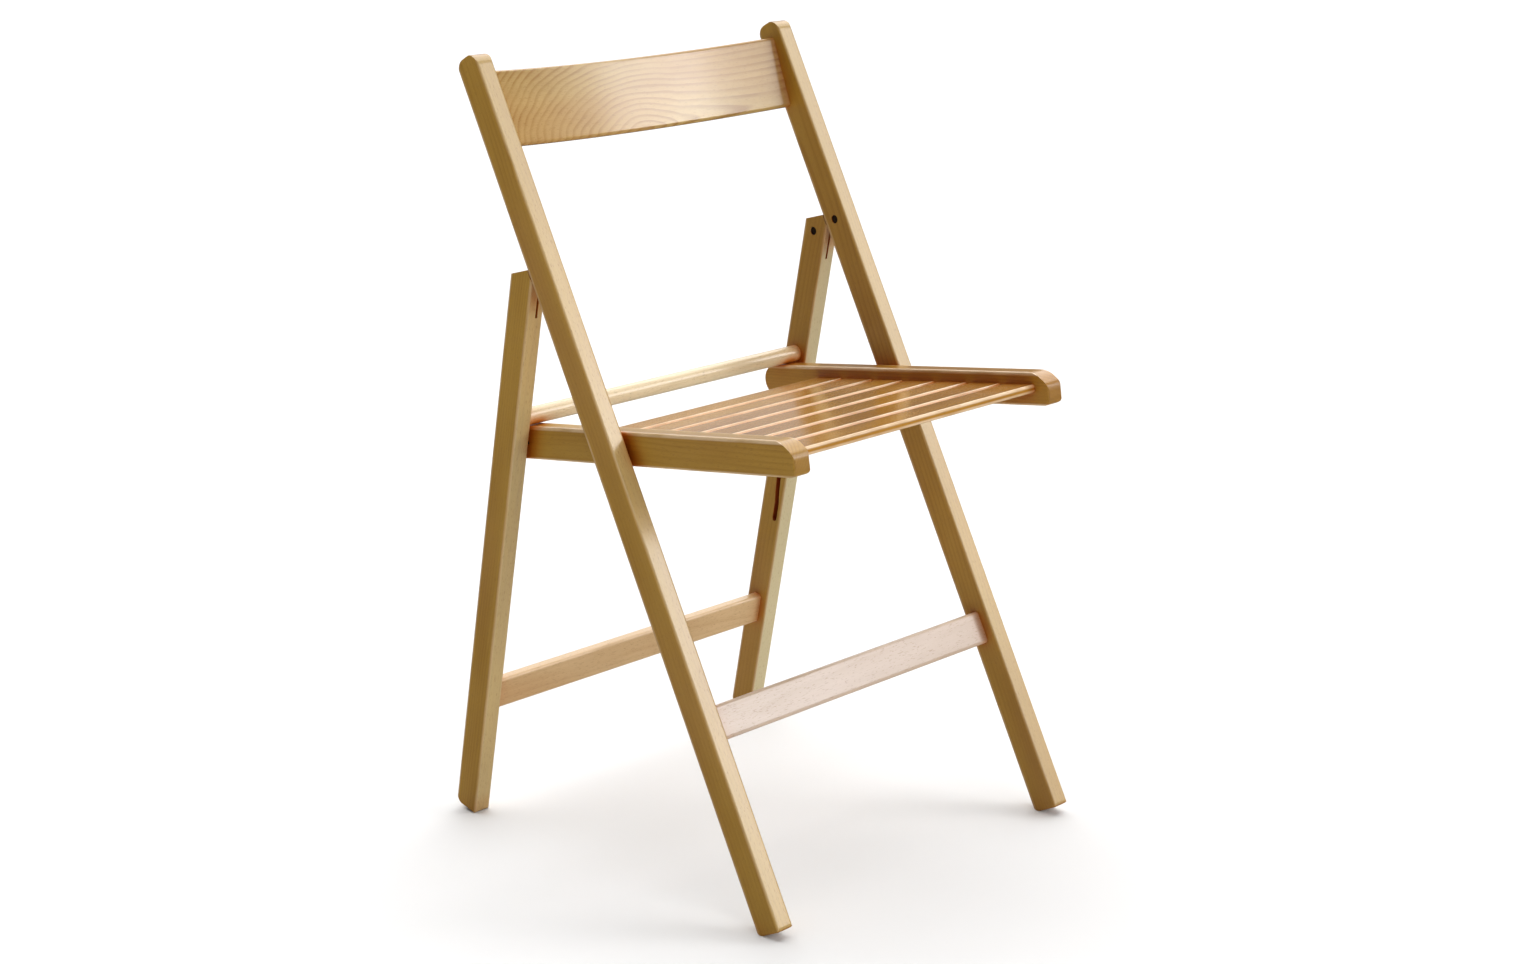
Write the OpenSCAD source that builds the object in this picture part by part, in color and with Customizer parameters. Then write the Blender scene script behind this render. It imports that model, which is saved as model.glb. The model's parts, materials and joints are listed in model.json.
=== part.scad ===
// Folding chair in solid beech: a front frame with the backrest, a rear frame hung on steel
// links, and a slatted seat that swings between them. Millimetres, +Z up, front towards -Y.
// A bar's own frame has X across the chair, Y from the bar's front face to its rear face
// (middle at 0) and Z along the bar, up from the floor. Left is the sitter's left, +X.

/* [Frame] */
// Overall width across the stiles
chair_w = 430; // [400:5:470]
// Thickness of every upright bar, across the chair
bar_w = 20; // [19:0.5:23]
// Depth of every upright bar, front to rear
bar_d = 32; // [30:0.5:33]
// Length of the stiles from foot to top
stile_len = 896; // [880:1:930]
// Lean of the stiles from upright, in degrees
stile_lean = 26.1; // [25:0.1:27]
// Lean of the rear legs from upright, in degrees
leg_lean = 13.5; // [12.5:0.1:14.5]
// Rounding of the long edges of the bars
edge_r = 2.5; // [1:0.5:3]
// Rounding of both corners at the top of a stile
stile_top_r = 14; // [6:0.5:15]
// Rounding of the rear corner at the foot of a stile
stile_heel_r = 9; // [4:0.5:12]
// Rounding of the rear corner at the foot of a rear leg
leg_heel_r = 13; // [6:0.5:14]
// Rounding of the front corner at every foot
toe_r = 4; // [2:0.5:8]

/* [Hinge] */
// Place of the upper hinge pin, along the stile from the floor
hinge_s = 674; // [666:1:682]
// Distance of the upper hinge pin behind the middle of the stile
stile_pin_t = 1; // [0:0.1:2]
// Distance of the lower hinge pin behind the middle of the rear leg
leg_pin_t = 1.3; // [-1:0.1:2.5]
// Distance between the two pins of a hinge link
link_len = 36.2; // [36:0.1:38]
// Width of a hinge link
link_w = 16; // [14:0.5:16]
// Thickness of a hinge link
link_t = 2; // [1.5:0.25:3]
// Diameter of the hinge pins
pin_d = 9; // [6:0.5:9]
// How far the hinge pins are sunk below the bars' inner faces
pin_sunk = 1; // [0:0.5:4]

/* [Seat] */
// Place of the seat pivots, along the stile from the floor
pivot_s = 490; // [484:1:496]
// Diameter of the seat pivots
pivot_d = 8; // [6:0.5:9]
// Tilt of the seat, front edge higher, in degrees
seat_tilt = 7; // [5:0.25:9]
// Reach of a seat rail in front of its pivot
rail_front = 239; // [230:1:250]
// Reach of a seat rail behind its slide pin
rail_tail = 24; // [18:0.5:30]
// Height of a seat rail
rail_h = 34; // [32:0.5:36]
// Thickness of a seat rail
rail_t = 21; // [19:0.5:22]
// Gap between a rail and the frames beside it
side_gap = 5.5; // [4:0.25:8]
// Length of the slope at the front top corner of a rail
nose_len = 16; // [14:0.5:20]
// Drop of the slope at the front top corner of a rail
nose_drop = 13; // [10:0.5:14]
// Rounding where the slope meets the rail's top edge
nose_top_r = 28; // [4:1:28]
// Rounding where the slope meets the rail's front end
nose_tip_r = 12; // [3:0.5:12]
// Distance from one slat to the next
slat_pitch = 45; // [43:0.5:46]
// Width of a slat
slat_w = 38.5; // [36:0.5:41]
// Thickness of a slat
slat_t = 8.5; // [7:0.5:10]
// Depth of the slats' top face below the rails' top edge
slat_recess = 12; // [8:0.5:14]
// Distance from the rails' front end to the first slat
slat_setback = 17.5; // [12:0.5:20]

/* [Slide] */
// Diameter of the slide pins
slide_d = 3.5; // [3:0.25:4.5]
// Width of the slide groove
groove_w = 6.8; // [6:0.1:8]
// Distance of the groove's ends in front of the middle of the leg
groove_forward = 8.6; // [7:0.1:9]
// Depth of the groove
groove_depth = 7.5; // [6:0.5:9]
// Spare length of the groove below the folded pin
groove_spare = 20; // [4:1:24]

/* [Cross bars] */
// Height of both stretchers
stretcher_h = 35; // [30:1:38]
// Thickness of both stretchers
stretcher_t = 12; // [10:0.5:14]
// Place of the front stretcher's middle along the stile
front_stretcher_s = 209; // [190:1:240]
// Place of the rear stretcher's middle along the leg
rear_stretcher_s = 139.5; // [120:1:170]
// Diameter of the stop dowel
dowel_d = 18; // [16:0.5:20]

/* [Backrest] */
// Height of the backrest board
back_h = 76.5; // [60:0.5:85]
// Thickness of the backrest board
back_t = 8.5; // [7:0.5:10]
// Depth of the backrest's bow
back_bow = 20; // [4:0.5:24]
// Gap between the board's top edge and the stiles' tops
back_drop = 17; // [12:1:30]
// Lean of the board forward of the stiles, in degrees
back_turn = 7.6; // [4:0.2:8]

/* [Hidden] */
$fn = 64;

wood = "burlywood";
steel = "dimgray";
slats = 7;
clearance = 0.3;     // between bodies that move past each other
pin_fit = 0.04;      // radial room round a pin
joint_fit = 0.05;    // room round a glued tenon
eps = 0.01;          // overlap that keeps a cut clean

inner_x = chair_w / 2 - bar_w;          // inner faces of stiles and legs
mid_x = chair_w / 2 - bar_w / 2;        // middle plane of stiles and legs
rail_x = inner_x - side_gap;            // outer face of a seat rail

bore_depth = 12;     // of a seat pin's bore in the wood
hinge_depth = 16;    // of a hinge pin's bore in the wood
link_x = inner_x + 8.5;
saw_w = link_t + 2 * clearance;
saw_r = 34;          // radius of the saw cuts that hold the links
saw_out = 22.5;      // distance of the saw's centre from a bar's middle
saw_up = 5.6;        // height of the saw's centre above the leg's pin
tenon_len = 10;
tenon_h = 24;
tenon_t = 8;
dowel_len = 9;       // of the dowel inside each leg
slat_tenon = 7;      // of a slat inside each rail
slat_shoulder = 3;   // step from a slat's long edge to its tenon
back_tenon = 8;      // of the backrest inside each stile
stretcher_r = 3.5;
back_r = 3;
slat_r = 2.5;
rail_foot_r = 9;
leg_top_rise = 17.5; // of the leg's middle above its hinge pin
leg_top_fall = 27.5; // slope of the leg's top face towards the rear, in degrees
front_stretcher_t = 2;
back_seat_t = 1;     // of the board's front face at the stiles
path_steps = 24;

// The lowest corner of each foot, a stile's heel and a leg's toe, touches the floor.
function foot_s(r, lean) = (r + (bar_d / 2 - r) * sin(lean)) / cos(lean) - r;
stile_foot_s = foot_s(stile_heel_r, stile_lean);
leg_foot_s = foot_s(toe_r, leg_lean);
stile_top_s = stile_foot_s + stile_len;

// Points seen from the side are [y, z], with y measured from the stile's foot.
function on_stile(s, t) = [
    s * sin(stile_lean) + t * cos(stile_lean),
    s * cos(stile_lean) - t * sin(stile_lean)
];
function leg_s(p) = (stance - p[0]) * sin(leg_lean) + p[1] * cos(leg_lean);
function leg_t(p) = (p[0] - stance) * cos(leg_lean) + p[1] * sin(leg_lean);
function folded_by(v, a) = [v[0] * cos(a) + v[1] * sin(a), v[1] * cos(a) - v[0] * sin(a)];

// Each link stands square to its stile, and its lower pin hangs the rear frame.
leg_pin = on_stile(hinge_s, stile_pin_t + link_len);
stance = leg_pin[0] + leg_pin[1] * tan(leg_lean) - leg_pin_t / cos(leg_lean);
leg_pin_s = leg_s(leg_pin);
leg_fold = stile_lean + leg_lean;

// Each rail carries a slide pin where its middle line meets the groove in the leg.
pivot = on_stile(pivot_s, 0);
along_seat = [cos(seat_tilt), -sin(seat_tilt)];
above_seat = [sin(seat_tilt), cos(seat_tilt)];
slide_reach = (-groove_forward - leg_t(pivot)) / cos(seat_tilt + leg_lean);
rail_rear = slide_reach + rail_tail;
folded_lift = stile_pin_t + link_len - leg_pin_t - groove_forward;
seat_fold = 90 + stile_lean - seat_tilt - asin(folded_lift / slide_reach);

// Place of the slide pin in the leg, as [t, s], when the chair is folded by share f of its way.
function slide_world(f) = pivot + folded_by(slide_reach * along_seat, f * seat_fold);
function slide_local(f) = leg_pin + folded_by(slide_world(f) - leg_pin, -f * leg_fold);
function slide_at(f) = [leg_t(slide_local(f)), leg_s(slide_local(f))];

// The path bows rearward. The groove is wider than the pin, so it may bow less by its room.
path_bow = max([for (k = [0 : path_steps]) slide_at(k / path_steps)[0]]) + groove_forward;
groove_room = (groove_w - slide_d) / 2 - clearance;
groove_share = max(0, 1 - 2 * groove_room / path_bow);
function groove_at(f) = let (p = slide_at(f), middle = path_bow / 2 - groove_forward)
    [middle + (p[0] - middle) * groove_share, p[1]];

// The dowel's underside meets the rails' top edges when the chair is open.
dowel_rise = rail_h / 2 + clearance + dowel_d / 2;
dowel_reach = -leg_t(pivot + dowel_rise * above_seat) / cos(seat_tilt + leg_lean);
dowel_s = leg_s(pivot + dowel_rise * above_seat + dowel_reach * along_seat);

// The origin lies half way between the rails' noses and the rear feet.
nose_y = pivot[0] - (rail_front - rail_foot_r) * cos(seat_tilt)
    - (rail_h / 2 - rail_foot_r) * sin(seat_tilt) - rail_foot_r;
heel_y = stance - (leg_foot_s + leg_heel_r) * sin(leg_lean)
    + (bar_d / 2 - leg_heel_r) * cos(leg_lean) + leg_heel_r;
centre_y = (nose_y + heel_y) / 2;

module in_stile() {
    translate([0, -centre_y, 0]) rotate([-stile_lean, 0, 0]) children();
}

module in_leg() {
    translate([0, stance - centre_y, 0]) rotate([leg_lean, 0, 0]) children();
}

// Seat frame: origin at the pivot, Y back along the rail, Z square to the seat.
module in_seat() {
    translate([0, pivot[0] - centre_y, pivot[1]]) rotate([-seat_tilt, 0, 0]) children();
}

// Corner b of an outline a, b, c, drawn anticlockwise: its tangent points for radius r, and
// the centre of its arc.
function unit(v) = v / norm(v);
function corner_run(a, b, c, r) =
    r * cross(unit(b - a), unit(c - b)) / (1 + unit(b - a) * unit(c - b));
function corner_ends(a, b, c, r) = r == 0 ? [b] :
    [b - corner_run(a, b, c, r) * unit(b - a), b + corner_run(a, b, c, r) * unit(c - b)];
function corner_centre(a, b, c, r) = let (u = unit(b - a))
    b - corner_run(a, b, c, r) * u + r * [-u[1], u[0]];

// Convex outline, drawn anticlockwise, with a radius for each corner.
module rounded(corners, radii) {
    n = len(corners);
    ends = [for (i = [0 : n - 1])
        corner_ends(corners[(i + n - 1) % n], corners[i], corners[(i + 1) % n], radii[i])];
    polygon([for (i = [0 : n - 1]) each ends[i]]);
    for (i = [0 : n - 1])
        if (radii[i] > 0) {
            centre = corner_centre(corners[(i + n - 1) % n], corners[i], corners[(i + 1) % n],
                radii[i]);
            intersection() {
                translate(centre) circle(radii[i]);
                polygon([ends[i][0], corners[i], ends[i][1], centre]);
            }
        }
}

// Rectangle centred on the origin with round corners.
module round_rect(w, h, r) {
    square([w - 2 * r, h], center = true);
    square([w, h - 2 * r], center = true);
    for (x = [-1, 1], y = [-1, 1])
        translate([x * (w / 2 - r), y * (h / 2 - r)]) circle(r);
}

// Rod along X from x0 to x1 through the point y, z.
module rod(x0, x1, y, z, d) {
    translate([x0, y, z]) rotate([0, 90, 0]) cylinder(d = d, h = x1 - x0);
}

// Plate square to X from x0 to x1, whose outline is drawn as [y, z].
module plate(x0, x1) {
    translate([x0, 0, 0]) rotate([90, 0, 90]) linear_extrude(x1 - x0) children();
}

// Upright bar from z0 to z1 with rounded edges. Its corners seen from the side are rounded
// in the order toe, heel, rear top, front top.
module upright(z0, z1, corner_radii) {
    half = bar_d / 2;
    intersection() {
        translate([mid_x, 0, z0]) linear_extrude(z1 - z0) round_rect(bar_w, bar_d, edge_r);
        translate([mid_x, half, (z0 + z1) / 2]) rotate([90, 0, 0])
            linear_extrude(bar_d) round_rect(bar_w, z1 - z0, edge_r);
        plate(mid_x - bar_w, mid_x + bar_w)
            rounded([[-half, z0], [half, z0], [half, z1], [-half, z1]], corner_radii);
    }
}

// Thin round saw cut for a hinge link.
module saw_cut(t, s) {
    rod(link_x - saw_w / 2, link_x + saw_w / 2, t, s, 2 * saw_r);
}

// Stretcher between two bars, with a flat tenon at each end.
module stretcher(t, s, grow = 0) {
    plate(-inner_x, inner_x) translate([t, s]) round_rect(stretcher_t, stretcher_h, stretcher_r);
    translate([0, t, s])
        cube([2 * (inner_x + tenon_len + grow), tenon_t + 2 * grow, tenon_h + 2 * grow],
            center = true);
}

// Bowed board: a ring sector round an upright axis in front of the chair.
module bowed_board(grow = 0) {
    bow_r = (pow(inner_x, 2) + pow(back_bow, 2)) / (2 * back_bow);
    half_angle = asin((inner_x + back_tenon + grow) / bow_r);
    chord_y = sqrt(pow(bow_r, 2) - pow(inner_x, 2));
    translate([0, back_seat_t, stile_top_s - back_drop - back_h / 2])
        rotate([back_turn, 0, 0]) translate([0, back_t / 2 - chord_y, 0])
            rotate([0, 0, 90 - half_angle]) rotate_extrude(angle = 2 * half_angle, $fn = 360)
                translate([bow_r, 0])
                    round_rect(back_t + 2 * grow, back_h + 2 * grow, back_r);
}

module dowel(grow = 0) {
    half = inner_x + dowel_len + grow;
    rod(-half, half, 0, dowel_s, dowel_d + 2 * grow);
}

// Slot for the slide pin, cut into the inner face of the left rear leg.
module groove() {
    path = [for (k = [0 : path_steps]) groove_at(k / path_steps)];
    low = path[path_steps] - [0, groove_spare];
    line = concat(path, [low]);
    last = len(line) - 1;
    across = [for (k = [0 : last])
        let (d = line[min(k + 1, last)] - line[max(k - 1, 0)])
            [d[1], -d[0]] / norm(d) * groove_w / 2];
    plate(inner_x - eps, inner_x + groove_depth) {
        polygon(concat(
            [for (k = [0 : last]) line[k] + across[k]],
            [for (k = [last : -1 : 0]) line[k] - across[k]]
        ));
        for (p = [line[0], low]) translate(p) circle(d = groove_w);
    }
}

// Upright of the front frame.
module stile() {
    difference() {
        upright(stile_foot_s, stile_top_s, [toe_r, stile_heel_r, stile_top_r, stile_top_r]);
        bowed_board(joint_fit);
        stretcher(front_stretcher_t, front_stretcher_s, joint_fit);
        saw_cut(saw_out, hinge_s);
        rod(inner_x - eps, inner_x + hinge_depth, stile_pin_t, hinge_s, pin_d + 2 * pin_fit);
        rod(inner_x - eps, inner_x + bore_depth + clearance, 0, pivot_s, pivot_d + 2 * pin_fit);
    }
}

// Upright of the rear frame. Its top lies against the stile when the chair is open.
module rear_leg() {
    top_s = leg_pin_s + leg_top_rise;
    difference() {
        in_leg() difference() {
            upright(leg_foot_s, top_s + bar_d, [toe_r, leg_heel_r, toe_r, toe_r]);
            translate([0, 0, top_s]) rotate([-leg_top_fall, 0, 0])
                translate([0, -2 * bar_d, 0]) cube([chair_w, 4 * bar_d, 2 * bar_d]);
            stretcher(0, rear_stretcher_s, joint_fit);
            dowel(joint_fit);
            groove();
            saw_cut(-saw_out, leg_pin_s + saw_up);
            rod(inner_x - eps, inner_x + hinge_depth, leg_pin_t, leg_pin_s, pin_d + 2 * pin_fit);
        }
        in_stile() translate([0, bar_d / 2 + clearance - 4 * bar_d, hinge_s - 4 * bar_d])
            cube([chair_w, 4 * bar_d, 8 * bar_d]);
    }
}

// Side outline of a seat rail: sloped nose, round tail.
module rail_outline() {
    tail_r = rail_h / 2;
    tail = rail_rear - tail_r;
    rounded(
        [[-rail_front, -tail_r], [tail, -tail_r], [tail, tail_r],
            [nose_len - rail_front, tail_r], [-rail_front, tail_r - nose_drop]],
        [rail_foot_r, 0, 0, nose_top_r, nose_tip_r]
    );
    translate([tail, 0]) circle(tail_r, $fn = 96);
}

// One slat, counted from the front, with a flat tenon at each end.
module slat(i, grow = 0) {
    half = rail_x - rail_t;
    y = slat_setback - rail_front + slat_w / 2 + (i - 1) * slat_pitch;
    z = rail_h / 2 - slat_recess - slat_t / 2;
    plate(-half, half) translate([y, z]) round_rect(slat_w, slat_t, slat_r);
    translate([0, y, z])
        cube([
            2 * (half + slat_tenon + grow),
            slat_w - 2 * slat_shoulder + 2 * grow,
            slat_t - slat_shoulder + 2 * grow
        ], center = true);
}

// Side member of the seat, with housings for the slats and bores for its two pins.
module seat_rail() {
    difference() {
        intersection() {
            plate(rail_x - rail_t, rail_x) rail_outline();
            translate([rail_x - rail_t / 2, rail_rear, 0]) rotate([90, 0, 0])
                linear_extrude(rail_rear + rail_front) round_rect(rail_t, rail_h, edge_r);
            translate([rail_x - rail_t / 2, 0, -rail_h])
                linear_extrude(2 * rail_h) round_rect(rail_t, 2 * rail_front, edge_r);
        }
        for (i = [1 : slats]) slat(i, joint_fit);
        rod(rail_x - bore_depth, rail_x + eps, 0, 0, pivot_d + 2 * pin_fit);
        rod(rail_x - bore_depth, rail_x + eps, slide_reach, 0, slide_d + 2 * pin_fit);
    }
}

// Flat steel plate with two pin holes.
module hinge_link() {
    plate(link_x - link_t / 2, link_x + link_t / 2) translate([stile_pin_t, hinge_s])
        difference() {
            union() {
                translate([0, -link_w / 2]) square([link_len, link_w]);
                for (t = [0, link_len]) translate([t, 0]) circle(d = link_w);
            }
            for (t = [0, link_len]) translate([t, 0]) circle(d = pin_d + 2 * pin_fit);
        }
}

module hinge_pin(t, s) {
    rod(inner_x + pin_sunk, inner_x + hinge_depth, t, s, pin_d);
}

module seat_pivot() {
    rod(rail_x - bore_depth, inner_x + bore_depth, 0, 0, pivot_d);
}

module pivot_washer() {
    difference() {
        rod(rail_x, inner_x - clearance, 0, 0, 2 * pivot_d);
        rod(rail_x - 1, inner_x + 1, 0, 0, pivot_d + 2 * pin_fit);
    }
}

module slide_pin() {
    rod(rail_x - bore_depth, inner_x + groove_depth - 1, slide_reach, 0, slide_d);
}

module right_hand() {
    mirror([1, 0, 0]) children();
}

// Front frame
module left_stile() color(wood) in_stile() stile();
module right_stile() color(wood) right_hand() in_stile() stile();
module backrest() color(wood) in_stile() bowed_board();
module front_stretcher() color(wood) in_stile() stretcher(front_stretcher_t, front_stretcher_s);
module left_hinge_link() color(steel) in_stile() hinge_link();
module right_hinge_link() color(steel) right_hand() in_stile() hinge_link();
module left_stile_pin() color(steel) in_stile() hinge_pin(stile_pin_t, hinge_s);
module right_stile_pin() color(steel) right_hand() in_stile() hinge_pin(stile_pin_t, hinge_s);

// Rear frame
module left_rear_leg() color(wood) rear_leg();
module right_rear_leg() color(wood) right_hand() rear_leg();
module rear_stretcher() color(wood) in_leg() stretcher(0, rear_stretcher_s);
module stop_dowel() color(wood) in_leg() dowel();
module left_leg_pin() color(steel) in_leg() hinge_pin(leg_pin_t, leg_pin_s);
module right_leg_pin() color(steel) right_hand() in_leg() hinge_pin(leg_pin_t, leg_pin_s);

// Seat
module left_seat_rail() color(wood) in_seat() seat_rail();
module right_seat_rail() color(wood) right_hand() in_seat() seat_rail();
module seat_slat(i) color(wood) in_seat() slat(i);
module left_seat_pivot() color(steel) in_seat() seat_pivot();
module right_seat_pivot() color(steel) right_hand() in_seat() seat_pivot();
module left_pivot_washer() color(steel) in_seat() pivot_washer();
module right_pivot_washer() color(steel) right_hand() in_seat() pivot_washer();
module left_slide_pin() color(steel) in_seat() slide_pin();
module right_slide_pin() color(steel) right_hand() in_seat() slide_pin();

left_stile();
right_stile();
backrest();
front_stretcher();
left_hinge_link();
right_hinge_link();
left_stile_pin();
right_stile_pin();
left_rear_leg();
right_rear_leg();
rear_stretcher();
stop_dowel();
left_leg_pin();
right_leg_pin();
left_seat_rail();
right_seat_rail();
seat_slat(1);  // seat_slat_1
seat_slat(2);  // seat_slat_2
seat_slat(3);  // seat_slat_3
seat_slat(4);  // seat_slat_4
seat_slat(5);  // seat_slat_5
seat_slat(6);  // seat_slat_6
seat_slat(7);  // seat_slat_7
left_seat_pivot();
right_seat_pivot();
left_pivot_washer();
right_pivot_washer();
left_slide_pin();
right_slide_pin();
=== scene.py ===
"""Looks of the folding chair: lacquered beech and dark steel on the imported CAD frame, in metres."""

import math

import bpy
from mathutils import Matrix, Vector
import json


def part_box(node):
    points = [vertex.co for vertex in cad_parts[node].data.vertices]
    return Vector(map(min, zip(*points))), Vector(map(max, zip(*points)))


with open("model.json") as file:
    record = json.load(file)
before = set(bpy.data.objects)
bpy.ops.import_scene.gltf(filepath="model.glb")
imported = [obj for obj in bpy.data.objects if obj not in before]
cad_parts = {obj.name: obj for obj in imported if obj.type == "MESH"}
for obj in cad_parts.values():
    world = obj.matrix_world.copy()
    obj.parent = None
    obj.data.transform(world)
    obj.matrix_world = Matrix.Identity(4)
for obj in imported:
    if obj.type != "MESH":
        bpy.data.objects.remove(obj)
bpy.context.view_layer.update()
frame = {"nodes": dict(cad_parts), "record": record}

MM = 0.001

# ---------------------------------------------------------------- camera

SENSOR = 36.0
LENS = 58.81
CAMERA_AT = Vector((-1.7157, -1.8013, 1.0470))
YAW, PITCH, ROLL = (math.radians(angle) for angle in (-43.88, 15.35, -1.53))


def make_camera():
    data = bpy.data.cameras.new("camera")
    data.sensor_width = SENSOR
    data.lens = LENS
    cam = bpy.data.objects.new("camera", data)
    bpy.context.scene.collection.objects.link(cam)
    turn = Matrix.Rotation(YAW, 4, "Z") @ Matrix.Rotation(math.pi / 2 - PITCH, 4, "X")
    cam.matrix_world = Matrix.Translation(CAMERA_AT) @ turn @ Matrix.Rotation(ROLL, 4, "Z")
    bpy.context.scene.camera = cam


# ---------------------------------------------------------------- floor

FLOOR_HALF = 20.0
FLOOR_COLOR = (0.80, 0.80, 0.80, 1)
FLOOR_ROUGHNESS = 0.95
FLOOR_SPECULAR = 0.1


def make_floor():
    """A plain pale floor, which doesn't show in the chair's lacquer."""
    mesh = bpy.data.meshes.new("floor")
    h = FLOOR_HALF
    mesh.from_pydata([(-h, -h, 0), (h, -h, 0), (h, h, 0), (-h, h, 0)], [], [(0, 1, 2, 3)])
    floor = bpy.data.objects.new("floor", mesh)
    bpy.context.scene.collection.objects.link(floor)
    mat = bpy.data.materials.new("floor")
    mat.use_nodes = True
    shader = mat.node_tree.nodes["Principled BSDF"]
    shader.inputs["Base Color"].default_value = FLOOR_COLOR
    shader.inputs["Roughness"].default_value = FLOOR_ROUGHNESS
    shader.inputs["Specular IOR Level"].default_value = FLOOR_SPECULAR
    mesh.materials.append(mat)
    floor.visible_glossy = False


# ---------------------------------------------------------------- light

# The world's strength as a light, and what it gains where it is seen directly
LIT_GLOW = 0.08
SEEN_GLOW = 0.90

# Name, azimuth and elevation, strength, width in degrees. The first three stand side by side, as
# one broad soft light that the backrest and the fronts of the stiles mirror.
SUNS = [
    ("key", (-49, 21), 0.49, 15),
    ("crown", (-37, 30), 0.46, 19),
    ("wing", (-61, 20), 0.46, 18),
    ("front", (-104, 30), 0.75, 40),
    ("top", (50, 62), 3.8, 84),
]

# The panel behind the chair that the seat slats mirror
PANEL_AT = (1.05, 1.90, 0.72)
PANEL_TARGET = (0, 0, 0.45)
PANEL_SIZE = (1.27, 1.0)
PANEL_POWER = 1.5


def aim(light, back):
    """Turns a light so that it shines from the direction back."""
    light.rotation_mode = "QUATERNION"
    light.rotation_quaternion = Vector(back).to_track_quat("Z", "Y")


def toward(azimuth, elevation):
    """The direction at an azimuth from +X towards +Y and an elevation, both in degrees."""
    turn, lift = math.radians(azimuth), math.radians(elevation)
    return Vector((math.cos(turn) * math.cos(lift), math.sin(turn) * math.cos(lift), math.sin(lift)))


def sun(name, back, strength, width):
    data = bpy.data.lights.new(name, "SUN")
    data.energy = strength
    data.angle = math.radians(width)
    light = bpy.data.objects.new(name, data)
    bpy.context.scene.collection.objects.link(light)
    aim(light, back)


def softbox(name, at, target, size, power):
    data = bpy.data.lights.new(name, "AREA")
    data.shape = "RECTANGLE"
    data.size, data.size_y = size
    data.energy = power
    light = bpy.data.objects.new(name, data)
    bpy.context.scene.collection.objects.link(light)
    light.location = at
    light.visible_camera = False
    aim(light, Vector(at) - Vector(target))


def make_world():
    """A white surrounding that is bright to look at and adds only a little light."""
    world = bpy.data.worlds.new("studio")
    world.use_nodes = True
    background = world.node_tree.nodes["Background"]
    background.inputs["Color"].default_value = (1, 1, 1, 1)
    sight = world.node_tree.nodes.new("ShaderNodeLightPath")
    strength = world.node_tree.nodes.new("ShaderNodeMath")
    strength.operation = "MULTIPLY_ADD"
    strength.inputs[1].default_value = SEEN_GLOW
    strength.inputs[2].default_value = LIT_GLOW
    world.node_tree.links.new(sight.outputs["Is Camera Ray"], strength.inputs[0])
    world.node_tree.links.new(strength.outputs[0], background.inputs["Strength"])
    bpy.context.scene.world = world
    bpy.context.scene.view_settings.view_transform = "Standard"


def make_lights():
    for name, direction, strength, width in SUNS:
        sun(name, toward(*direction), strength, width)
    softbox("back_panel", PANEL_AT, PANEL_TARGET, PANEL_SIZE, PANEL_POWER)


# ---------------------------------------------------------------- node building


class Graph:
    """Short names for building a material's nodes."""

    def __init__(self, name):
        self.material = bpy.data.materials.new(name)
        self.material.use_nodes = True
        self.tree = self.material.node_tree
        self.shader = self.tree.nodes["Principled BSDF"]

    def feed(self, socket, value):
        if isinstance(value, bpy.types.NodeSocket):
            self.tree.links.new(value, socket)
        else:
            socket.default_value = value

    def node(self, kind, **settings):
        made = self.tree.nodes.new(kind)
        for key, value in settings.items():
            setattr(made, key, value)
        return made

    def math(self, operation, a, b=0.0, c=0.0):
        made = self.node("ShaderNodeMath", operation=operation)
        for socket, value in zip(made.inputs, (a, b, c)):
            self.feed(socket, value)
        return made.outputs[0]

    def vector(self, operation, a, b=(0, 0, 0)):
        made = self.node("ShaderNodeVectorMath", operation=operation)
        self.feed(made.inputs[0], a)
        self.feed(made.inputs[1], b)
        return made.outputs["Value" if operation == "LENGTH" else "Vector"]

    def split(self, vector):
        made = self.node("ShaderNodeSeparateXYZ")
        self.feed(made.inputs[0], vector)
        return made.outputs

    def placed(self, vector, turn, at=(0, 0, 0)):
        """A vector of the chair's frame, seen from a frame that stands at at, turned by turn."""
        made = self.node("ShaderNodeMapping", vector_type="TEXTURE")
        made.inputs["Location"].default_value = at
        made.inputs["Rotation"].default_value = turn
        self.feed(made.inputs["Vector"], vector)
        return made.outputs["Vector"]

    def noise(self, vector, scale=1.0, detail=1.0, roughness=0.5):
        made = self.node("ShaderNodeTexNoise")
        self.feed(made.inputs["Vector"], vector)
        made.inputs["Scale"].default_value = scale
        made.inputs["Detail"].default_value = detail
        made.inputs["Roughness"].default_value = roughness
        return made.outputs["Fac"]

    def span(self, value, low, high, to_low=0.0, to_high=1.0):
        """Smooth step of value from low..high to to_low..to_high."""
        made = self.node("ShaderNodeMapRange", interpolation_type="SMOOTHSTEP")
        for socket, number in zip(made.inputs, (value, low, high, to_low, to_high)):
            self.feed(socket, number)
        return made.outputs["Result"]

    def clamp(self, value):
        made = self.node("ShaderNodeClamp")
        self.feed(made.inputs[0], value)
        return made.outputs[0]

    def mix(self, share, a, b, blend="MIX"):
        made = self.node("ShaderNodeMix", data_type="RGBA", blend_type=blend)
        self.feed(made.inputs["Factor"], share)
        self.feed(made.inputs[6], a)
        self.feed(made.inputs[7], b)
        return made.outputs[2]

    def bump(self, height, strength, distance, normal=None):
        made = self.node("ShaderNodeBump")
        made.inputs["Strength"].default_value = strength
        made.inputs["Distance"].default_value = distance
        self.feed(made.inputs["Height"], height)
        if normal is not None:
            self.feed(made.inputs["Normal"], normal)
        return made.outputs["Normal"]


def rgb(red, green, blue):
    return (red, green, blue, 1.0)


# ---------------------------------------------------------------- beech

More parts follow.
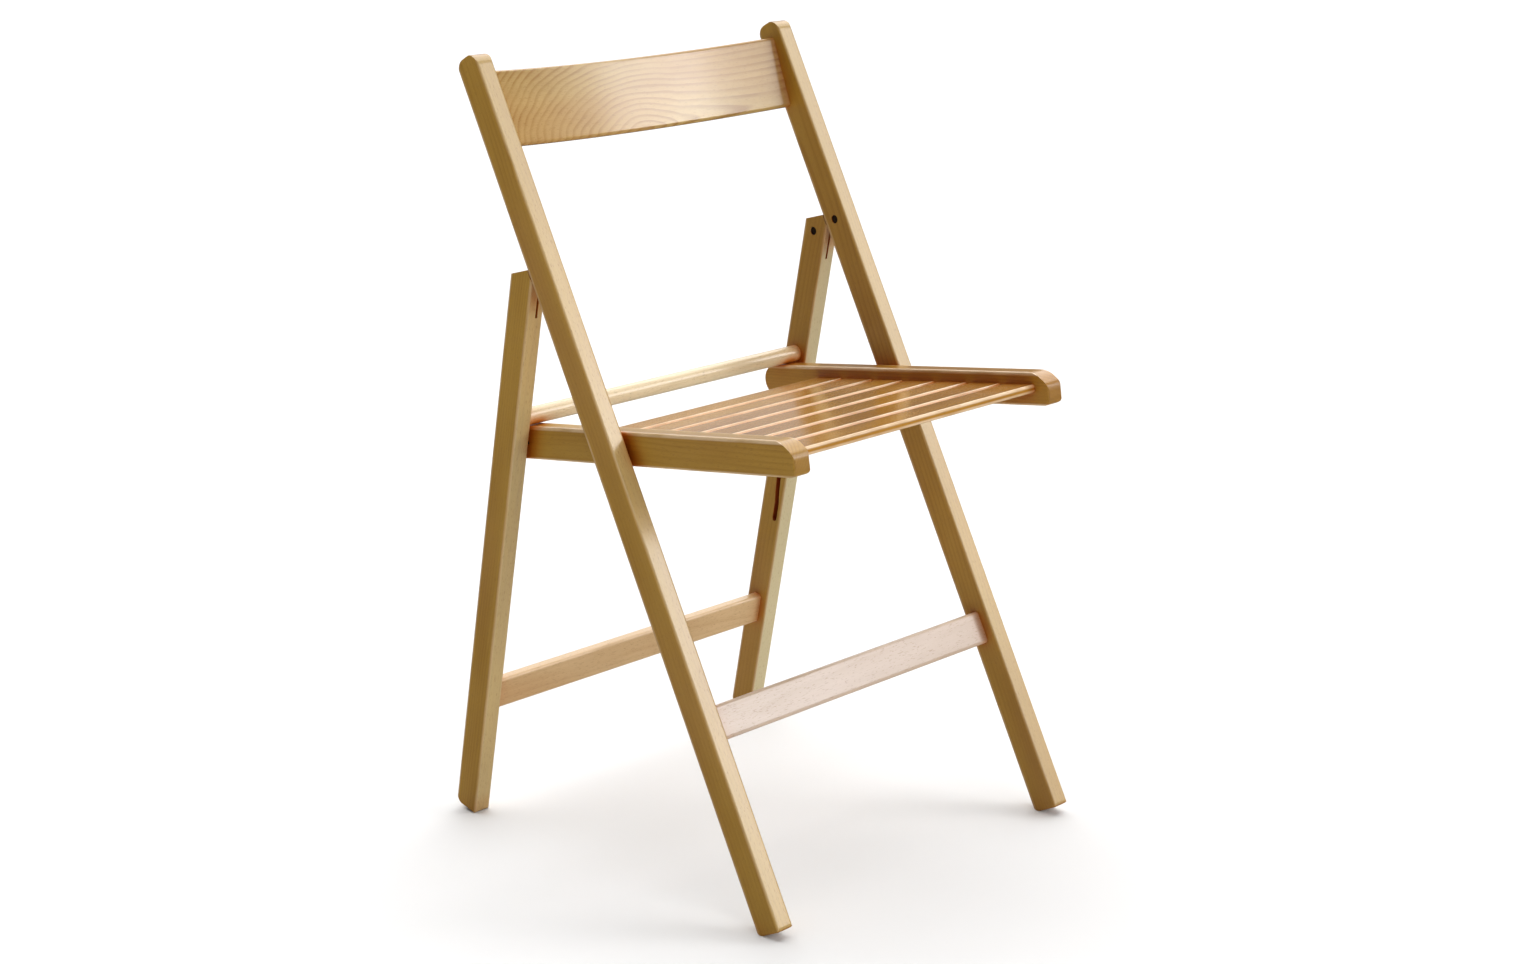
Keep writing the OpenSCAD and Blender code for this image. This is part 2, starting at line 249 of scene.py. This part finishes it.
# The light and the dark end of each cut of beech
BEECH = (rgb(0.47, 0.262, 0.034), rgb(0.335, 0.160, 0.012))
# Darker, redder beech: painted shade for the far seat rail, whose inner face lies in shade
FAR_RAIL_PAINTED_SHADE = (rgb(0.45, 0.220, 0.024), rgb(0.31, 0.130, 0.009))
SLAT_BEECH = (rgb(0.45, 0.215, 0.030), rgb(0.29, 0.115, 0.010))
BOARD_BEECH = (rgb(0.48, 0.325, 0.115), rgb(0.31, 0.165, 0.042))
# Pink beech for the front stretcher, its own tone made paler and whiter with a painted highlight
PINK_BEECH_AND_HIGHLIGHT = (rgb(0.56, 0.44, 0.36), rgb(0.46, 0.34, 0.25))
SAND_BEECH = (rgb(0.61, 0.42, 0.22), rgb(0.50, 0.32, 0.15))
# Beech made pale as painted light for the stop dowel, whose front the lamps leave dim
DOWEL_PAINTED_LIGHT = (rgb(0.77, 0.64, 0.42), rgb(0.62, 0.48, 0.28))

BLUSH = rgb(0.46, 0.225, 0.07)
# Painted highlight: a paler, whiter colour on the front and back faces, standing in for the lacquer's
# sheen
FRONT_HIGHLIGHT_PAINT = rgb(0.60, 0.54, 0.34)
FLECK = rgb(0.20, 0.08, 0.01)
END_GRAIN = rgb(0.20, 0.085, 0.015)
# Painted shade for the inside of cut recesses
RECESS_PAINTED_SHADE = rgb(0.30, 0.10, 0.03)
# Lighter edges: partly lacquer wear, partly a painted highlight along the arrises
WORN_EDGE_AND_HIGHLIGHT = rgb(0.84, 0.64, 0.42)
CORNER_SHADE = rgb(0.92, 0.40, 0.07)

# How fine each pattern is, per metre: twice across the grain, then along it
PATCHES = (30, 30, 9)
STREAKS = (650, 650, 9)
CLOUDS = (22, 22, 4.5)
BLUSHES = (9, 9, 3)
FLECKS = (1300, 1300, 210)
PORES = (2600, 2600, 120)
WORN_PATCHES = (60, 60, 22)
RIPPLES = (150, 150, 30)

# The rings' slow drift: its stretch along the grain, and how fine it is per metre
DRIFT_STRETCH = (1, 1, 0.35)
DRIFT_SCALE = 14.0
# How far the rings' spacing wavers, in rings, and how fine that is per metre
UNEVEN_RINGS = 1.8
UNEVEN_SCALE = 30.0

# The band of edge wear and painted highlight starts and is full where the distances to both faces of
# an edge add up to these
EDGE_START, EDGE_FULL = 3.6 * MM, 1.8 * MM
# Wood counts as a cut recess, painted with shade, over these depths: below the side, below the front,
# and in from the ends
SIDE_SINK = (0.8 * MM, 1.6 * MM)
FRONT_SINK = (2.5 * MM, 3.5 * MM)
END_CLEAR = (30 * MM, 36 * MM)
# Painted shade reddens and darkens the wood in closed corners within this reach, and only by a share
# at an upright's ends
CORNER_REACH = 24 * MM
FOOT_FADE = 30 * MM
FOOT_SHARE = 0.25

# The wood's tone runs from 0, light, to 1, dark: its middle, and how far patterns move it
MIDDLE_TONE = 0.35
STREAK_TONE = 0.55
CLOUD_TONE = 1.8
# The most that each of these colours covers the wood's own
BLUSH_SHARE = 0.30
FLECK_SHARE = 0.35
END_SHARE = 0.45

# What streaks, end grain and worn edges add to the lacquer's roughness
STREAK_ROUGHNESS = 0.10
END_ROUGHNESS = 0.18
WORN_ROUGHNESS = 0.06
# Strength and height of each bump
GRAIN_BUMP = (0.16, 0.10 * MM)
RIPPLE_BUMP = (0.10, 0.25 * MM)

WOOD_IOR = 1.45
COAT_WEIGHT = 0.40
COAT_ROUGHNESS = 0.15
COAT_IOR = 1.42


class Beech:
    """Solid beech under clear lacquer, for one piece of wood.

    The piece's own frame stands at at, turned by turn, with Z along the grain, and half is half
    the piece's size along its X and Y. The growth rings are shells round a pith line that
    crosses that frame at pith, at the height apex, and leans by slope; lopsided makes the rings
    longer on one side of the apex. half_length is given only for the uprights, which have cut
    recesses, painted dark as shade, and feet."""

    def __init__(self, name, at, turn, half, seed, colors=BEECH, pith=(0.08, 0.05), slope=0.02,
                 lopsided=0.0, apex=0.0, spacing=3.4 * MM, wander=8 * MM, contrast=0.42,
                 pale_face=0.0, worn=0.30, roughness=0.25, half_length=0.0):
        self.g = Graph(name)
        self.half = half
        self.half_length = half_length
        self.seed = seed
        self.light, self.dark = colors
        self.contrast = contrast
        self.pale_face = pale_face
        self.worn = worn
        self.roughness = roughness
        g = self.g
        coords = g.node("ShaderNodeTexCoord")
        self.own = g.placed(coords.outputs["Object"], turn, at)
        self.x, self.y, self.z = g.split(self.own)
        facing = g.split(g.placed(coords.outputs["Normal"], turn))
        self.end_face = g.span(g.math("ABSOLUTE", facing[2]), 0.55, 0.95)
        self.front_face = g.span(g.math("ABSOLUTE", facing[1]), 0.60, 0.98)
        self.rings(pith, slope, lopsided, apex, spacing, wander)
        self.fibres()
        self.edge = self.edge_band()
        g.feed(g.shader.inputs["Base Color"], self.color())
        self.lacquer()

    def shifted(self, scale):
        """The piece's own coordinates, moved by its seed and stretched by scale."""
        g = self.g
        moved = g.vector("ADD", self.own, (self.seed, self.seed * 1.7, self.seed * 0.6))
        return g.vector("MULTIPLY", moved, scale)

    def rings(self, pith, slope, lopsided, apex, spacing, wander):
        """Sets late: 1 in the dark late wood of each growth ring, 0 in the early wood."""
        g = self.g
        drift = g.noise(self.shifted(DRIFT_STRETCH), DRIFT_SCALE)
        drift = g.math("MULTIPLY_ADD", drift, wander, -wander / 2)
        along = g.math("SUBTRACT", self.z, apex)
        along = g.math("MULTIPLY_ADD", g.math("ABSOLUTE", along), lopsided, along)
        across = g.math("SUBTRACT", self.x, pith[0])
        deep = g.math("MULTIPLY_ADD", along, slope, g.math("SUBTRACT", self.y, pith[1]))
        point = g.node("ShaderNodeCombineXYZ")
        g.feed(point.inputs[0], across)
        g.feed(point.inputs[1], deep)
        radius = g.math("ADD", g.vector("LENGTH", point.outputs[0]), drift)
        ring = g.math("DIVIDE", radius, spacing)
        uneven = g.noise(point.outputs[0], UNEVEN_SCALE)
        phase = g.math("FRACT", g.math("MULTIPLY_ADD", uneven, UNEVEN_RINGS, ring))
        rise = g.span(phase, 0.35, 0.85)
        fall = g.span(phase, 0.85, 1.0, 1.0, 0.0)
        patchy = g.span(g.noise(self.shifted(PATCHES), detail=2.0), 0.30, 0.70, 0.25, 1.0)
        self.late = g.math("MULTIPLY", g.math("MULTIPLY", rise, fall), patchy)

    def fibres(self):
        """Sets the fine patterns, from streaks along the grain to pores."""
        g = self.g
        self.streak = g.noise(self.shifted(STREAKS), detail=3.0, roughness=0.6)
        self.cloud = g.noise(self.shifted(CLOUDS), detail=3.0, roughness=0.55)
        self.blush = g.span(g.noise(self.shifted(BLUSHES)), 0.45, 0.72)
        self.fleck = g.span(g.noise(self.shifted(FLECKS)), 0.60, 0.72)
        self.pore = g.span(g.noise(self.shifted(PORES)), 0.60, 0.75)

    def edge_band(self):
        """1 along the piece's long edges, 0 on its faces, uneven as worn lacquer is; the band carries
        both edge wear and a painted highlight.
        """
        g = self.g
        corner = sum(self.half)
        reach = g.math("ADD", g.math("ABSOLUTE", self.x), g.math("ABSOLUTE", self.y))
        band = g.span(reach, corner - EDGE_START, corner - EDGE_FULL)
        patchy = g.span(g.noise(self.shifted(WORN_PATCHES), detail=2.0), 0.25, 0.60, 0.35, 1.0)
        return g.math("MULTIPLY", band, patchy)

    def depth(self, reach, coordinate):
        """How far a point lies inside the two faces that are reach from the middle."""
        return self.g.math("SUBTRACT", reach, self.g.math("ABSOLUTE", coordinate))

    def sunk(self):
        """1 on cut recesses below the bar's side and front faces, where shade is painted, 0 on them
        and at its ends.
        """
        g = self.g
        side, front = self.half
        sunk = g.math("MULTIPLY", g.span(self.depth(side, self.x), *SIDE_SINK),
                      g.span(self.depth(front, self.y), *FRONT_SINK))
        return g.math("MULTIPLY", sunk, g.span(self.depth(self.half_length, self.z), *END_CLEAR))

    def painted_corner_shade(self):
        """1 deep in a corner between pieces, where shade is painted, 0 in the open."""
        g = self.g
        corner = g.node("ShaderNodeAmbientOcclusion", samples=6)
        corner.inputs["Distance"].default_value = CORNER_REACH
        closed = g.span(corner.outputs["AO"], 0.35, 0.95, 1.0, 0.0)
        if self.half_length:
            from_end = self.depth(self.half_length, self.z)
            closed = g.math("MULTIPLY", closed, g.span(from_end, 0.0, FOOT_FADE, FOOT_SHARE, 1.0))
        return closed

    def color(self):
        g = self.g
        late = g.math("MULTIPLY", self.late, self.contrast)
        streak = g.math("MULTIPLY_ADD", self.streak, STREAK_TONE, -STREAK_TONE / 2)
        cloud = g.math("MULTIPLY_ADD", self.cloud, CLOUD_TONE, -CLOUD_TONE / 2)
        tone = g.math("ADD", late, g.math("ADD", streak, cloud))
        tone = g.clamp(g.math("ADD", tone, MIDDLE_TONE))
        color = g.mix(tone, self.light, self.dark)
        color = g.mix(g.math("MULTIPLY", self.blush, BLUSH_SHARE), color, BLUSH)
        # Painted highlight on the front and back faces
        color = g.mix(g.math("MULTIPLY", self.front_face, self.pale_face), color, FRONT_HIGHLIGHT_PAINT)
        color = g.mix(g.math("MULTIPLY", self.fleck, FLECK_SHARE), color, FLECK)
        color = g.mix(g.math("MULTIPLY", self.end_face, END_SHARE), color, END_GRAIN)
        if self.half_length:
            # Painted shade in the cut recesses
            color = g.mix(self.sunk(), color, RECESS_PAINTED_SHADE)
        # Edge band: wear and painted highlight
        color = g.mix(g.math("MULTIPLY", self.edge, self.worn), color, WORN_EDGE_AND_HIGHLIGHT)
        # Painted shade in closed corners, found by ambient occlusion
        return g.mix(self.painted_corner_shade(), color, CORNER_SHADE, "MULTIPLY")

    def lacquer(self):
        g = self.g
        rough = g.math("MULTIPLY_ADD", self.streak, STREAK_ROUGHNESS, self.roughness)
        rough = g.math("MULTIPLY_ADD", self.end_face, END_ROUGHNESS, rough)
        rough = g.math("MULTIPLY_ADD", self.edge, WORN_ROUGHNESS, rough)
        g.feed(g.shader.inputs["Roughness"], rough)
        g.shader.inputs["IOR"].default_value = WOOD_IOR
        g.shader.inputs["Coat Weight"].default_value = COAT_WEIGHT
        g.shader.inputs["Coat Roughness"].default_value = COAT_ROUGHNESS
        g.shader.inputs["Coat IOR"].default_value = COAT_IOR
        grain = g.bump(g.math("SUBTRACT", self.streak, self.pore), *GRAIN_BUMP)
        ripple = g.noise(self.shifted(RIPPLES))
        g.feed(g.shader.inputs["Normal"], g.bump(ripple, *RIPPLE_BUMP, grain))


# ---------------------------------------------------------------- steel

STEEL_DARK = rgb(0.020, 0.014, 0.011)
STEEL_LIGHT = rgb(0.060, 0.040, 0.028)
STEEL_METALLIC = 0.85
STEEL_ROUGHNESS = 0.38
SCRATCH_ROUGHNESS = 0.25
SCRATCH_BUMP = (0.15, 0.05 * MM)
STEEL_CLOUDS = 180.0
STEEL_SCRATCHES = (2400, 260, 2400)


def dark_steel():
    g = Graph("dark_steel")
    coords = g.node("ShaderNodeTexCoord").outputs["Object"]
    cloud = g.noise(coords, STEEL_CLOUDS, 3.0)
    scratch = g.noise(g.vector("MULTIPLY", coords, STEEL_SCRATCHES), detail=2.0)
    color = g.mix(g.span(cloud, 0.35, 0.7), STEEL_DARK, STEEL_LIGHT)
    g.feed(g.shader.inputs["Base Color"], color)
    g.shader.inputs["Metallic"].default_value = STEEL_METALLIC
    rough = g.math("MULTIPLY_ADD", scratch, SCRATCH_ROUGHNESS, STEEL_ROUGHNESS)
    g.feed(g.shader.inputs["Roughness"], rough)
    g.feed(g.shader.inputs["Normal"], g.bump(scratch, *SCRATCH_BUMP))
    return g.material


# ---------------------------------------------------------------- the pieces

STILE_LEAN = math.radians(26.1)
LEG_LEAN = math.radians(-13.5)
SEAT_TILT = math.radians(7.0)
ACROSS = math.radians(90)

UPRIGHT_HALF = (10 * MM, 16 * MM)
STILE_HALF_LENGTH = 448 * MM
LEG_HALF_LENGTH = 308 * MM
RAIL_HALF = (10.5 * MM, 17 * MM)
STRETCHER_HALF = (17.5 * MM, 6 * MM)
SLAT_HALF = (19.2 * MM, 4.2 * MM)
# So far out that no edge band of wear and painted highlight shows, for a round or a bent piece
NO_EDGES = (1, 1)
SLATS = 7


def paint(node, material):
    mesh = frame["nodes"][node].data
    mesh.materials.clear()
    mesh.materials.append(material)


def wood(node, turn, half, seed, **grain):
    low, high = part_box(node)
    paint(node, Beech(node, (low + high) / 2, turn, half, seed, **grain).g.material)


def upright(node, lean, half_length, seed, **grain):
    wood(node, (-lean, 0, 0), UPRIGHT_HALF, seed, half_length=half_length, **grain)


def rail(node, seed, **grain):
    """A seat rail: its grain runs front to back."""
    wood(node, (-SEAT_TILT - ACROSS, 0, 0), RAIL_HALF, seed, worn=0.6, **grain)


def crossbar(node, tilt, half, seed, **grain):
    """A piece that runs across the chair: its own Z is the chair's X, its own X points down."""
    turn = (Matrix.Rotation(-tilt, 3, "X") @ Matrix.Rotation(ACROSS, 3, "Y")).to_euler()
    wood(node, tuple(turn), half, seed, **grain)


def paint_frames():
    # Stiles and legs get a painted highlight on their front and back faces, by these shares
    stile = dict(lean=STILE_LEAN, half_length=STILE_HALF_LENGTH, pale_face=0.30)
    leg = dict(lean=LEG_LEAN, half_length=LEG_HALF_LENGTH)
    upright("right_stile", seed=0.31, pith=(0.09, 0.07), **stile)
    upright("left_stile", seed=1.73, pith=(-0.05, 0.03), slope=0.06, **stile)
    upright("right_rear_leg", seed=2.11, pith=(0.03, -0.06), slope=0.03, pale_face=0.42, **leg)
    upright("left_rear_leg", seed=3.37, pith=(-0.08, 0.05), pale_face=0.80, **leg)
    crossbar("front_stretcher", STILE_LEAN, STRETCHER_HALF, 6.13, colors=PINK_BEECH_AND_HIGHLIGHT,
             pith=(0.01, 0.06))
    crossbar("rear_stretcher", LEG_LEAN, STRETCHER_HALF, 7.71, colors=SAND_BEECH,
             pith=(-0.02, 0.05))
    # The dowel's pale wood is painted light
    crossbar("stop_dowel", LEG_LEAN, NO_EDGES, 8.47, colors=DOWEL_PAINTED_LIGHT, pith=(0.02, 0.05))


def paint_seat():
    rail("right_seat_rail", 4.03, pith=(0.06, 0.05))
    # The far rail's wood is darker as painted shade
    rail("left_seat_rail", 5.59, colors=FAR_RAIL_PAINTED_SHADE, pith=(-0.04, 0.07))
    for number in range(1, SLATS + 1):
        # The slats' edges carry painted highlight lines as well as wear
        crossbar(f"seat_slat_{number}", SEAT_TILT, SLAT_HALF, 9.1 + 1.37 * number,
                 colors=SLAT_BEECH, worn=0.65, roughness=0.17,
                 pith=(0.012 * math.sin(2.3 * number), 0.04 + 0.01 * math.cos(1.9 * number)),
                 slope=0.012 * math.sin(3.1 * number))


def paint_backrest():
    """A board sawn so that its rings show as arcs, longer on one side than on the other."""
    crossbar("backrest", STILE_LEAN, NO_EDGES, 20.3, colors=BOARD_BEECH, pith=(0.040, -0.012),
             slope=0.32, lopsided=-0.38, apex=0.055, spacing=6.0 * MM, wander=3 * MM,
             contrast=0.95, roughness=0.18)


def paint_steel():
    steel = dark_steel()
    for row in frame["record"]["subparts"]:
        if row["material_slot"] == "dark_steel":
            paint(row["node"], steel)


make_camera()
make_floor()
make_world()
make_lights()
paint_frames()
paint_seat()
paint_backrest()
paint_steel()
